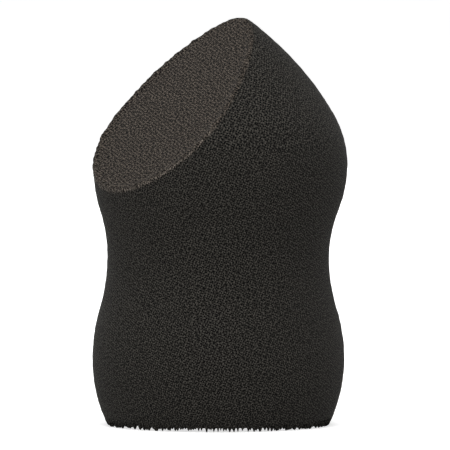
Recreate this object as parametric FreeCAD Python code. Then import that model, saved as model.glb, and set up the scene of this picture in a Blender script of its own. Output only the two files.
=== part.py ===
# Makeup sponge: one gourd-shaped piece of open-cell foam with a slanted blending face.
# Frame: origin at the centre of the flat base, +Z up the gourd's axis, blending face towards -Y. Millimetres.
import FreeCAD, Part
import math
import os

# Stations of the gourd's side, from the base up: each one's diameter, and its rise above the one below
BASE_DIAMETER = 34.8
LOWER_BULB_DIAMETER = 39.7
LOWER_BULB_RISE = 10.5
WAIST_DIAMETER = 34.9
WAIST_RISE = 15.9
UPPER_BULB_DIAMETER = 40.0
UPPER_BULB_RISE = 14.7

# Moulded dome over the upper bulb, as it is before the blending face is cut
SHOULDER_RADIUS = 16.0
SHOULDER_TURN_DEGREES = 31.0
TIP_RISE = 25.8

# Blending face: its slope from the horizontal, and how far below the moulded tip it meets the axis
FACE_SLOPE_DEGREES = 49.0
FACE_BELOW_TIP = 6.9

# Roundings that the foam's edges relax to
FACE_EDGE_RADIUS = 0.8
BASE_EDGE_RADIUS = 0.5

# Heights of the stations above the base
LOWER_BULB_HEIGHT = LOWER_BULB_RISE
WAIST_HEIGHT = LOWER_BULB_HEIGHT + WAIST_RISE
UPPER_BULB_HEIGHT = WAIST_HEIGHT + UPPER_BULB_RISE
TIP_HEIGHT = UPPER_BULB_HEIGHT + TIP_RISE

ORIGIN = FreeCAD.Vector(0, 0, 0)
UP = FreeCAD.Vector(0, 0, 1)
DOWN = -UP
FULL_TURN_DEGREES = 360

# Two directions this close, in radians, count as one
SAME_DIRECTION = 1e-9
# Points this close to a plane, as a share of the upper bulb's diameter, count as lying on it
ON_PLANE_SHARE = 1e-6
# Places along an edge at which that is tested
TESTED_PLACES = 5


def on_side(diameter, height):
    """A point of the gourd's outline, which is drawn in the XZ plane."""
    return FreeCAD.Vector(diameter / 2, 0, height)


def bend(start, direction, end):
    """The edge that leaves start along direction and bends evenly to end: an arc, or a line if end lies ahead."""
    chord = end - start
    across = direction.x * chord.z - direction.z * chord.x
    half_turn = math.atan2(across, direction.dot(chord))
    if abs(half_turn) < SAME_DIRECTION:
        return Part.LineSegment(start, end).toShape()
    outwards = FreeCAD.Vector(chord.z, 0, -chord.x)
    middle = (start + end) / 2 + outwards * (math.tan(half_turn / 2) / 2)
    return Part.Arc(start, middle, end).toShape()


def sway(lower, upper):
    """The S-shaped pair of arcs between two stations, upright at both."""
    halfway = (lower + upper) / 2
    return [bend(lower, UP, halfway), bend(upper, DOWN, halfway)]


def dome(upper_bulb, tip):
    """The shoulder arc over the upper bulb, and the flatter crown arc from it to the moulded tip."""
    turn = math.radians(SHOULDER_TURN_DEGREES)
    inwards = SHOULDER_RADIUS * (1 - math.cos(turn))
    shoulder_end = upper_bulb + FreeCAD.Vector(-inwards, 0, SHOULDER_RADIUS * math.sin(turn))
    leaning = FreeCAD.Vector(-math.sin(turn), 0, math.cos(turn))
    return [bend(upper_bulb, UP, shoulder_end), bend(shoulder_end, leaning, tip)]


def moulded_gourd():
    """The foam as it leaves its mould: the outline turned about the axis."""
    base_edge = on_side(BASE_DIAMETER, 0)
    lower_bulb = on_side(LOWER_BULB_DIAMETER, LOWER_BULB_HEIGHT)
    waist = on_side(WAIST_DIAMETER, WAIST_HEIGHT)
    upper_bulb = on_side(UPPER_BULB_DIAMETER, UPPER_BULB_HEIGHT)
    tip = on_side(0, TIP_HEIGHT)
    outline = [
        Part.LineSegment(ORIGIN, base_edge).toShape(),
        bend(lower_bulb, DOWN, base_edge),
        *sway(lower_bulb, waist),
        *sway(waist, upper_bulb),
        *dome(upper_bulb, tip),
        Part.LineSegment(tip, ORIGIN).toShape(),
    ]
    half_section = Part.Face(Part.Wire(Part.__sortEdges__(outline)))
    return half_section.revolve(ORIGIN, UP, FULL_TURN_DEGREES)


def cut_blending_face(gourd):
    """Slices off the tip along the slanted face. Returns the sponge, a point of the face and its normal."""
    slope = math.radians(FACE_SLOPE_DEGREES)
    middle = FreeCAD.Vector(0, 0, TIP_HEIGHT - FACE_BELOW_TIP)
    normal = FreeCAD.Vector(0, -math.sin(slope), math.cos(slope))
    offcut = Part.Face(Part.Plane(middle, normal)).makeHalfSpace(middle + normal)
    return gourd.cut(offcut), middle, normal


def lies_on(edge, point, normal):
    """Whether an edge lies all along on the plane through point."""
    near = ON_PLANE_SHARE * UPPER_BULB_DIAMETER
    places = edge.discretize(Number=TESTED_PLACES)
    return all(abs((place - point).dot(normal)) < near for place in places)


def relax_edges(sponge, face_middle, face_normal):
    """Rounds the rims of the blending face and of the base."""
    face_rim = [edge for edge in sponge.Edges if lies_on(edge, face_middle, face_normal)]
    sponge = sponge.makeFillet(FACE_EDGE_RADIUS, face_rim)
    base_rim = [edge for edge in sponge.Edges if lies_on(edge, ORIGIN, DOWN)]
    return sponge.makeFillet(BASE_EDGE_RADIUS, base_rim)


def make_sponge_body():
    """The whole sponge: moulded, sliced, and its edges relaxed."""
    sponge, face_middle, face_normal = cut_blending_face(moulded_gourd())
    return relax_edges(sponge, face_middle, face_normal)


os.makedirs("parts", exist_ok=True)
sponge_body = make_sponge_body()
sponge_body.exportStep("parts/sponge_body.step")
box = sponge_body.optimalBoundingBox()
print(f"sponge_body: valid {sponge_body.isValid()}, {len(sponge_body.Solids)} solid, {sponge_body.Volume:.0f} mm3")
print(f"sponge_body: {box.XLength:.2f} x {box.YLength:.2f} x {box.ZLength:.2f} mm, from Z {box.ZMin:.3f}")
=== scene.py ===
import math

import bmesh
import bpy
from mathutils import Matrix, Vector, kdtree, noise
from mathutils.bvhtree import BVHTree


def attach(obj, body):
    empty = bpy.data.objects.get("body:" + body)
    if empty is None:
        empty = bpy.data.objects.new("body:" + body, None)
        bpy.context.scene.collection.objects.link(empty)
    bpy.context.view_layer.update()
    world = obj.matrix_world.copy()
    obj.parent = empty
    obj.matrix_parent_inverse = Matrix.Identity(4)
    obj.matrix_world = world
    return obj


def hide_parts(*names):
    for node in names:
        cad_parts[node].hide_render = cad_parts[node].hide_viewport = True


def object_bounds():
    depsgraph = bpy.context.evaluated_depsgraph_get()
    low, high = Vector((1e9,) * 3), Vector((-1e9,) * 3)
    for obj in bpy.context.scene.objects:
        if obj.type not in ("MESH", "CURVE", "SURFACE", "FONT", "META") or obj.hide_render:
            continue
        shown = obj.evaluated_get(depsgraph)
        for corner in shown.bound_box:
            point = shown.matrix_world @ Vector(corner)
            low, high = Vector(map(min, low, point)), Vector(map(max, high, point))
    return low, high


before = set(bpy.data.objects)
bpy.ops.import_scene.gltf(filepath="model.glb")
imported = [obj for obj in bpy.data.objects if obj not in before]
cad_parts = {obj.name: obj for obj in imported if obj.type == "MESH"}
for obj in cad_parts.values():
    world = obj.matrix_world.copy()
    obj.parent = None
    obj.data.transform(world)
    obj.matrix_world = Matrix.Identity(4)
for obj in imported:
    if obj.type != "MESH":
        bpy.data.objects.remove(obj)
cad_low, cad_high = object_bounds()

# Lengths are in metres and written in millimetres
MM = 0.001

# Camera: where it stands round the sponge, the width that it takes in there, and the point that it looks at
CAMERA_AZIMUTH_DEGREES = 57.6
CAMERA_ELEVATION_DEGREES = 2.7
CAMERA_DISTANCE = 1500 * MM
VIEW_WIDTH = 70.85 * MM
AIM_HEIGHT = 31.55 * MM
AIM_RIGHT = 1.05 * MM

SOFTBOX_SIZE = 600 * MM
SOFTBOX_DISTANCE = 900 * MM

# Foam mesh: the size of its quads, and how near the rims they are halved, and halved again at the torn rim
QUAD_SIZE = 0.45 * MM
FACE_RIM_REACH = 1.1 * MM
BASE_RIM_REACH = 2.0 * MM
FRAY_REACH = 1.4 * MM
# A corner this near the plane of the blending face, or of the base, lies on it
ON_PLANE = 0.01 * MM

# The sliced tip leans back a little, from the waist up
LEAN = 0.37 * MM
LEAN_FROM = 26.4 * MM
LEAN_TO = 41.1 * MM

# Unevenness of the foam's skin: long soft swells, and crowns of cells
SWELL_LENGTH = 9 * MM
SWELL_HEIGHT = 0.06 * MM
CELL_LENGTH = 0.95 * MM
CELL_HEIGHT = 0.06 * MM
# The blade leaves the slice's rim nibbled and standing proud, though worn off towards the tip
RIM_LIFT = 0.25 * MM
RIM_WORN_FROM = 56 * MM
RIM_WORN_TO = 64 * MM
NIBBLE_LENGTH = 0.8 * MM
NIBBLE_DEPTH = 0.2 * MM

# The trimmed base stands on its middle, rises this much to its rim, and is torn there into tufts
CONTACT_RADIUS = 5 * MM
BASE_CROWN = 0.62 * MM
TUFT_PITCH = 0.3 * MM
TUFT_CLUMP = 2.4 * MM
TUFT_LENGTH = 1.0 * MM
TUFT_BAND = 1.5 * MM
TUFT_THICKNESS = 0.35 * MM
# How high the tear runs, as shares: its middle and its swing, from tuft to tuft and from clump to clump
TUFT_MIDDLE_SHARE = 0.5
TUFT_SWING_SHARE = 1.2
CLUMP_MIDDLE_SHARE = 0.75
CLUMP_SWING_SHARE = 0.5

# Spacing of the foam's cells in the moulded wall, in the crown, where the foam rose last, and in the slice.
# Real ones are taken to be about half as wide. That is too fine to show in a picture of the whole sponge, so
# they are drawn coarser
MOULDED_CELL = 0.36 * MM
CROWN_CELL = 0.42 * MM
CROWN_FROM = 44 * MM
SLICED_CELL = 0.42 * MM
# The blade drags the slice's cells out along its way, so their width is this share of their height
DRAG_SHARE = 1.4
# Rows of cells are turned this much off the level, so that they don't line up with the sponge
ROW_TURN = math.radians(23)
# Shares of the cells' spacing: how far a cell may lie off its row, and how far out from its middle the
# strut tip ends and the gap, painted in shade, begins
CELL_DISORDER_SHARE = 0.7
TIP_SHARE = 0.16
GAP_SHARE = 0.34
# Burst cells lie half a cell off the strut tips' rows, in another part of the pattern, so that the two are
# unlike. They are painted near black, as painted shade in the open holes. Their radius and the softness of
# their edge are shares of the spacing
BURST_SHIFT_CELLS = 40.5
BURST_SHARE = 0.33
BURST_EDGE_SHARE = 0.04
# Brightness of a gap, as a share of a strut tip's: painted shade deep between the struts
GAP_SHADE_SHARE = 0.3
PORE_DEPTH = 0.05 * MM
PORE_ROUGHNESS = 1.0
TIP_ROUGHNESS = 0.86
MOTTLE_LENGTH = 3.0 * MM
# The cells' pattern is laid on the skin in flat patches, which change with every such turn of the skin
PATCH_TURN = math.radians(30)
# Patches lie this many cells apart in the pattern for each radian between them, so that no two are alike
PATCH_CELLS = 2700
# The foam looks sliced down to the first depth below the blending face, and moulded from the second
SLICED_TO = 0.12 * MM
MOULDED_FROM = 0.3 * MM
# The blade pulls struts up into a thin pale lip on the slice's low rim. Its colour is also a painted
# highlight, where the low rim faces the lamps above, and it fades out higher up
LIP_DEPTH = 0.1 * MM
LIP_HIGHLIGHT_FADES_FROM = 43 * MM
LIP_HIGHLIGHT_FADES_TO = 52 * MM

FLOOR_SIZE = 12000 * MM
# Round the sponge the card glows by this share of white and shows a shadow, and further off it fades to white
SHADOW_REACH = 60 * MM
WHITE_BEYOND = 160 * MM
GLOW_SHARE = 0.7


def linear(hex_colour):
    """The linear RGBA of an sRGB hex colour."""
    shares = [int(hex_colour[at:at + 2], 16) / 255 for at in (1, 3, 5)]
    return [s / 12.92 if s <= 0.04045 else ((s + 0.055) / 1.055) ** 2.4 for s in shares] + [1.0]


def add(tree, kind, inputs=(), **settings):
    """Adds a node with its settings, and fills its inputs with values or with other nodes' outputs."""
    made = tree.nodes.new(kind)
    for name, value in settings.items():
        setattr(made, name, value)
    for socket, value in dict(inputs).items():
        if isinstance(value, bpy.types.NodeSocket):
            tree.links.new(value, made.inputs[socket])
        else:
            made.inputs[socket].default_value = value
    return made


def new_material(name):
    """An empty node material and its output node."""
    material = bpy.data.materials.new(name)
    material.use_nodes = True
    material.node_tree.nodes.clear()
    return material, add(material.node_tree, "ShaderNodeOutputMaterial")


def smooth(share):
    """Eases a share from 0 to 1, and holds it there outside."""
    held = min(max(share, 0.0), 1.0)
    return held * held * (3 - 2 * held)


def even_mesh(node, quad):
    """A new mesh of even quads over the CAD solid, which stays as it is."""
    holder = bpy.data.objects.new("even_quads", node.data.copy())
    bpy.context.scene.collection.objects.link(holder)
    remesh = holder.modifiers.new("even_quads", "REMESH")
    remesh.mode = "VOXEL"
    remesh.voxel_size = quad
    seen = holder.evaluated_get(bpy.context.evaluated_depsgraph_get())
    mesh = bpy.data.meshes.new_from_object(seen)
    bpy.data.objects.remove(holder)
    return mesh


def settle(shape):
    """Puts every corner of the mesh on the CAD solid's skin."""
    for corner in shape.verts:
        corner.co = cad_skin.find_nearest(corner.co)[0]


def halve(shape, near):
    """Halves the edges whose ends are both near, and puts the new corners on the skin."""
    edges = [edge for edge in shape.edges if all(near(end.co) for end in edge.verts)]
    bmesh.ops.subdivide_edges(shape, edges=edges, cuts=1, use_grid_fill=True)
    settle(shape)


def depth_below_face(place):
    """How deep a place lies below the blending face's plane."""
    return (face_middle - place).dot(face_normal)


def on_blending_face(corner):
    """Whether a corner of the mesh lies in the blending face's plane."""
    return abs(depth_below_face(corner.co)) < ON_PLANE


def face_rim(shape):
    """A search tree of the corners where the blending face's flat ends."""
    flat = {corner for corner in shape.verts if on_blending_face(corner)}
    rim = [c for c in flat if any(e.other_vert(c) not in flat for e in c.link_edges)]
    tree = kdtree.KDTree(len(rim))
    for index, corner in enumerate(rim):
        tree.insert(corner.co, index)
    tree.balance()
    return tree


def skin_relief(place, rim_distance):
    """How far the skin stands out at a place: soft swells, crowns of cells, and the slice's proud rim."""
    swell = SWELL_HEIGHT * noise.noise(place / SWELL_LENGTH)
    cells = CELL_HEIGHT * noise.noise(place / CELL_LENGTH)
    nibble = NIBBLE_DEPTH * noise.noise(place / NIBBLE_LENGTH)
    lift = RIM_LIFT * smooth((RIM_WORN_TO - place.z) / (RIM_WORN_TO - RIM_WORN_FROM))
    return swell + cells + (lift + nibble) * smooth(1 - rim_distance / FACE_RIM_REACH)


def lean(place):
    """How far the foam leans back at a place."""
    return Vector((0, LEAN * smooth((place.z - LEAN_FROM) / (LEAN_TO - LEAN_FROM)), 0))


def torn_edge(place):
    """Height of the torn base edge above the ground, at the angle of a place round the axis."""
    on_rim = Vector((place.x, place.y, 0)).normalized() * base_radius
    tuft = TUFT_MIDDLE_SHARE + TUFT_SWING_SHARE * noise.noise(on_rim / TUFT_PITCH)
    clump = CLUMP_MIDDLE_SHARE + CLUMP_SWING_SHARE * noise.noise(on_rim / TUFT_CLUMP)
    return TUFT_LENGTH * clump * smooth(tuft)


def fray(place):
    """Where a place near the base goes: the underside crowns up, and the wall's foot is torn."""
    if place.z >= TUFT_BAND:
        return place
    radius = math.hypot(place.x, place.y)
    height = max(place.z, 0.0)
    crown = BASE_CROWN * max(0.0, (radius - CONTACT_RADIUS) / (base_radius - CONTACT_RADIUS))
    at_edge = smooth(1 - (base_radius - radius) / TUFT_THICKNESS)
    foot = crown + (torn_edge(place) - crown) * at_edge
    return Vector((place.x, place.y, foot + height * (1 - foot / TUFT_BAND)))


def patch_axes(normal):
    """The axes and the offset of the pattern's flat patch, for a face that looks along normal."""
    elevation = round(math.asin(normal.z) / PATCH_TURN) * PATCH_TURN
    level = abs(elevation) < math.pi / 2 - PATCH_TURN / 2
    azimuth = round(math.atan2(normal.y, normal.x) / PATCH_TURN) * PATCH_TURN if level else 0.0
    right = Vector((-math.sin(azimuth), math.cos(azimuth), 0))
    outwards = Vector((math.cos(azimuth), math.sin(azimuth), 0))
    up = Vector((0, 0, math.cos(elevation))) - outwards * math.sin(elevation)
    return right, up, Vector((azimuth, elevation)) * PATCH_CELLS


def lay_cells(shape):
    """Lays the pattern of the foam's cells on the skin, one unit to a cell."""
    layer = shape.loops.layers.uv.new("cells")
    row_turn = Matrix.Rotation(ROW_TURN, 2)
    for face in shape.faces:
        right, up, offset = patch_axes(face.normal)
        if all(on_blending_face(corner) for corner in face.verts):
            width, height = SLICED_CELL * DRAG_SHARE, SLICED_CELL
        elif face.calc_center_median().z > CROWN_FROM:
            width, height = CROWN_CELL, CROWN_CELL
        else:
            width, height = MOULDED_CELL, MOULDED_CELL
        for corner in face.loops:
            place = corner.vert.co
            cells = Vector((place.dot(right) / width, place.dot(up) / height))
            cells.rotate(row_turn)
            corner[layer].uv = offset + cells


def mark_slice(shape):
    """Marks how far each corner looks sliced, not moulded, and where the pale lip's painted highlight lies.
    """
    sliced = shape.verts.layers.float.new("sliced")
    lip_and_highlight = shape.verts.layers.float.new("lip_and_highlight")
    for corner in shape.verts:
        depth = depth_below_face(corner.co)
        corner[sliced] = smooth((MOULDED_FROM - depth) / (MOULDED_FROM - SLICED_TO))
        # Strongest low on the rim and faded out higher up, as a painted highlight from the lamps above
        low = smooth((LIP_HIGHLIGHT_FADES_TO - corner.co.z) / (LIP_HIGHLIGHT_FADES_TO - LIP_HIGHLIGHT_FADES_FROM))
        corner[lip_and_highlight] = low * smooth(1 - abs(depth - LIP_DEPTH) / LIP_DEPTH)


def make_uneven(shape, rim):
    """Moves every corner off the even skin: its relief, the torn base and the lean of the tip."""
    for corner in shape.verts:
        place = corner.co + corner.normal * skin_relief(corner.co, rim.find(corner.co)[2])
        corner.co = fray(place) + lean(place)


def from_base_rim(place):
    """How far a place is from the rim of the base."""
    return math.hypot(math.hypot(place.x, place.y) - base_radius, place.z)


def shape_foam(node):
    """The sponge's mesh: the CAD solid's skin in small quads, uneven as foam is."""
    mesh = even_mesh(node, QUAD_SIZE)
    shape = bmesh.new()
    shape.from_mesh(mesh)
    settle(shape)
    rim = face_rim(shape)
    halve(shape, lambda place: rim.find(place)[2] < FACE_RIM_REACH)
    halve(shape, lambda place: from_base_rim(place) < BASE_RIM_REACH)
    halve(shape, lambda place: from_base_rim(place) < FRAY_REACH)
    shape.normal_update()
    lay_cells(shape)
    mark_slice(shape)
    make_uneven(shape, rim)
    shape.normal_update()
    shape.to_mesh(mesh)
    shape.free()
    mesh.shade_smooth()
    return mesh


def open_cell_polyurethane_foam():
    """Charcoal open-cell polyurethane foam, moulded, and sliced on the blending face.

    The strut tips carry the foam's own colour, and the gaps and burst cells between them are painted darker,
    as painted shade deep in the cells. That gives a dead matt, finely peppered skin. The blade opens wider
    cells, and there the foam looks lighter and warmer.
    """
    material, output = new_material("open_cell_polyurethane_foam")
    tree = material.node_tree
    place = add(tree, "ShaderNodeTexCoord").outputs["Object"]
    on_skin = add(tree, "ShaderNodeUVMap", uv_map="cells").outputs["UV"]
    sliced = add(tree, "ShaderNodeAttribute", attribute_name="sliced").outputs["Fac"]
    lip_and_highlight = add(tree, "ShaderNodeAttribute", attribute_name="lip_and_highlight").outputs["Fac"]
    cells = add(tree, "ShaderNodeTexVoronoi", {
        "Vector": on_skin, "Scale": 1.0, "Randomness": CELL_DISORDER_SHARE,
    }, voronoi_dimensions="2D")
    # Gaps between the strut tips are painted dim, as shade between the struts
    tips = add(tree, "ShaderNodeMapRange", {
        "Value": cells.outputs["Distance"],
        "From Min": GAP_SHARE, "From Max": TIP_SHARE, "To Min": GAP_SHADE_SHARE,
    }, interpolation_type="SMOOTHSTEP").outputs["Result"]
    shift = (BURST_SHIFT_CELLS, BURST_SHIFT_CELLS, 0)
    between = add(tree, "ShaderNodeVectorMath", {0: on_skin, 1: shift}, operation="ADD").outputs["Vector"]
    burst = add(tree, "ShaderNodeTexVoronoi", {
        "Vector": between, "Scale": 1.0, "Randomness": CELL_DISORDER_SHARE,
    }, voronoi_dimensions="2D")
    whole = add(tree, "ShaderNodeMapRange", {
        "Value": burst.outputs["Distance"],
        "From Min": BURST_SHARE - BURST_EDGE_SHARE, "From Max": BURST_SHARE + BURST_EDGE_SHARE,
    }, interpolation_type="SMOOTHSTEP").outputs["Result"]
    strut = add(tree, "ShaderNodeMath", {0: tips, 1: whole}, operation="MULTIPLY").outputs["Value"]
    mottle = add(tree, "ShaderNodeTexNoise", {"Vector": place, "Scale": 1 / MOTTLE_LENGTH, "Detail": 3.0})
    moulded = add(tree, "ShaderNodeMix", {
        "Factor": mottle.outputs["Fac"], "A": linear("#54514c"), "B": linear("#5b5852"),
    }, data_type="RGBA")
    opened = add(tree, "ShaderNodeMix", {
        "Factor": mottle.outputs["Fac"], "A": linear("#6a6158"), "B": linear("#71685f"),
    }, data_type="RGBA")
    struts = add(tree, "ShaderNodeMix", {
        "Factor": sliced, "A": moulded.outputs["Result"], "B": opened.outputs["Result"],
    }, data_type="RGBA")
    # Pale pulled struts on the slice's low rim, with a painted highlight
    pulled_and_highlit = add(tree, "ShaderNodeMix", {
        "Factor": lip_and_highlight, "A": struts.outputs["Result"], "B": linear("#a0968b"),
    }, data_type="RGBA")
    # Burst cells are painted near black: painted shade in the foam's open holes
    foam = add(tree, "ShaderNodeMix", {
        "Factor": strut, "A": linear("#040404"), "B": pulled_and_highlit.outputs["Result"],
    }, data_type="RGBA")
    roughness = add(tree, "ShaderNodeMapRange", {
        "Value": strut, "To Min": PORE_ROUGHNESS, "To Max": TIP_ROUGHNESS,
    })
    bump = add(tree, "ShaderNodeBump", {"Height": strut, "Distance": PORE_DEPTH})
    shader = add(tree, "ShaderNodeBsdfPrincipled", {
        "Base Color": foam.outputs["Result"],
        "Roughness": roughness.outputs["Result"],
        "Normal": bump.outputs["Normal"],
        "Specular IOR Level": 0.05,
        "Sheen Weight": 0.03,
        "Sheen Roughness": 0.6,
    })
    tree.links.new(shader.outputs["BSDF"], output.inputs["Surface"])
    return material


def white_to_the_camera(tree):
    """1 on rays that show the background in the picture, straight, mirrored or through glass, and else 0."""
    path = add(tree, "ShaderNodeLightPath").outputs
    straight_or_mirrored = {0: path["Is Camera Ray"], 1: path["Is Glossy Ray"]}
    seen = add(tree, "ShaderNodeMath", straight_or_mirrored, operation="MAXIMUM").outputs["Value"]
    seen_or_through = {0: seen, 1: path["Is Transmission Ray"]}
    return add(tree, "ShaderNodeMath", seen_or_through, operation="MAXIMUM").outputs["Value"]


def white_card():
    """Matt white card: it throws soft light up on the foam, and looks white but for a faint shadow."""
    material, output = new_material("matt_white_card")
    tree = material.node_tree
    card = add(tree, "ShaderNodeBsdfDiffuse", {"Color": linear("#e4e4e4")})
    place = add(tree, "ShaderNodeTexCoord").outputs["Object"]
    away = add(tree, "ShaderNodeVectorMath", {0: place}, operation="LENGTH").outputs["Value"]
    white = add(tree, "ShaderNodeMapRange", {
        "Value": away, "From Min": SHADOW_REACH, "From Max": WHITE_BEYOND, "To Min": GLOW_SHARE,
    }).outputs["Result"]
    shown = add(tree, "ShaderNodeMath", {0: white_to_the_camera(tree), 1: white}, operation="MULTIPLY")
    glow = add(tree, "ShaderNodeEmission", {"Strength": shown.outputs["Value"]})
    both = add(tree, "ShaderNodeAddShader", {0: card.outputs["BSDF"], 1: glow.outputs["Emission"]})
    tree.links.new(both.outputs["Shader"], output.inputs["Surface"])
    return material


def make_floor():
    """The plain white card that the sponge stands on."""
    half = FLOOR_SIZE / 2
    corners = [(-half, -half, 0), (half, -half, 0), (half, half, 0), (-half, half, 0)]
    mesh = bpy.data.meshes.new("floor")
    mesh.from_pydata(corners, [], [(0, 1, 2, 3)])
    mesh.materials.append(white_card())
    floor = bpy.data.objects.new("floor", mesh)
    bpy.context.scene.collection.objects.link(floor)


def make_world():
    """White behind everything that the picture shows or mirrors, and dark to all other rays."""
    world = bpy.data.worlds.new("studio")
    bpy.context.scene.world = world
    world.use_nodes = True
    tree = world.node_tree
    tree.nodes.clear()
    white = add(tree, "ShaderNodeBackground", {"Strength": white_to_the_camera(tree)})
    output = add(tree, "ShaderNodeOutputWorld")
    tree.links.new(white.outputs["Background"], output.inputs["Surface"])


def camera_axes():
    """Unit vectors from the sponge to the camera, to its right and up its picture."""
    azimuth = math.radians(CAMERA_AZIMUTH_DEGREES)
    elevation = math.radians(CAMERA_ELEVATION_DEGREES)
    level = math.cos(elevation)
    back = Vector((math.sin(azimuth) * level, -math.cos(azimuth) * level, math.sin(elevation)))
    right = Vector((math.cos(azimuth), math.sin(azimuth), 0))
    return back, right, back.cross(right)


def make_softbox(name, right_share, up_share, back_share, watts):
    """A square soft light, placed by its direction in the picture's axes and aimed at the sponge's middle."""
    back, right, up = camera_axes()
    towards = (right * right_share + up * up_share + back * back_share).normalized()
    light = bpy.data.lights.new(name, "AREA")
    light.size = SOFTBOX_SIZE
    light.energy = watts
    lamp = bpy.data.objects.new(name, light)
    lamp.location = Vector((0, 0, AIM_HEIGHT)) + towards * SOFTBOX_DISTANCE
    lamp.rotation_euler = towards.to_track_quat("Z", "Y").to_euler()
    bpy.context.scene.collection.objects.link(lamp)


def make_camera():
    """The camera at the photograph's angle, far off with a long lens."""
    back, right, _ = camera_axes()
    camera = bpy.data.cameras.new("camera")
    camera.lens = camera.sensor_width * CAMERA_DISTANCE / VIEW_WIDTH
    holder = bpy.data.objects.new("camera", camera)
    holder.location = Vector((0, 0, AIM_HEIGHT)) + right * AIM_RIGHT + back * CAMERA_DISTANCE
    holder.rotation_euler = back.to_track_quat("Z", "Y").to_euler()
    bpy.context.scene.collection.objects.link(holder)
    bpy.context.scene.camera = holder


cad_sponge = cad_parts["sponge_body"]
cad_skin = BVHTree.FromObject(cad_sponge, bpy.context.evaluated_depsgraph_get())
# The axis meets the blending face from above, which gives a point of it and its normal
face_middle, face_normal, _, _ = cad_skin.ray_cast(Vector((0, 0, 2 * cad_high.z)), Vector((0, 0, -1)))
base_radius = max(math.hypot(v.co.x, v.co.y) for v in cad_sponge.data.vertices if v.co.z < ON_PLANE)

foam_mesh = shape_foam(cad_sponge)
foam_mesh.materials.clear()
foam_mesh.materials.append(open_cell_polyurethane_foam())
foam_sponge = bpy.data.objects.new("foam_sponge", foam_mesh)
bpy.context.scene.collection.objects.link(foam_sponge)
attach(foam_sponge, "root")
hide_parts("sponge_body")

make_floor()
make_world()
make_softbox("overhead", right_share=0, up_share=1, back_share=0.1, watts=4.5)
make_softbox("high_front", right_share=0, up_share=0.7, back_share=0.7, watts=4.1)
make_softbox("front_left", right_share=-0.6, up_share=0.3, back_share=0.75, watts=1.1)
make_softbox("behind_right", right_share=0.8, up_share=0.3, back_share=-0.6, watts=0.5)
# Lights the hidden side, which would else be nearly black
make_softbox("behind", right_share=-0.25, up_share=0.3, back_share=-0.9, watts=2.0)
make_camera()
bpy.context.scene.view_settings.view_transform = "Standard"
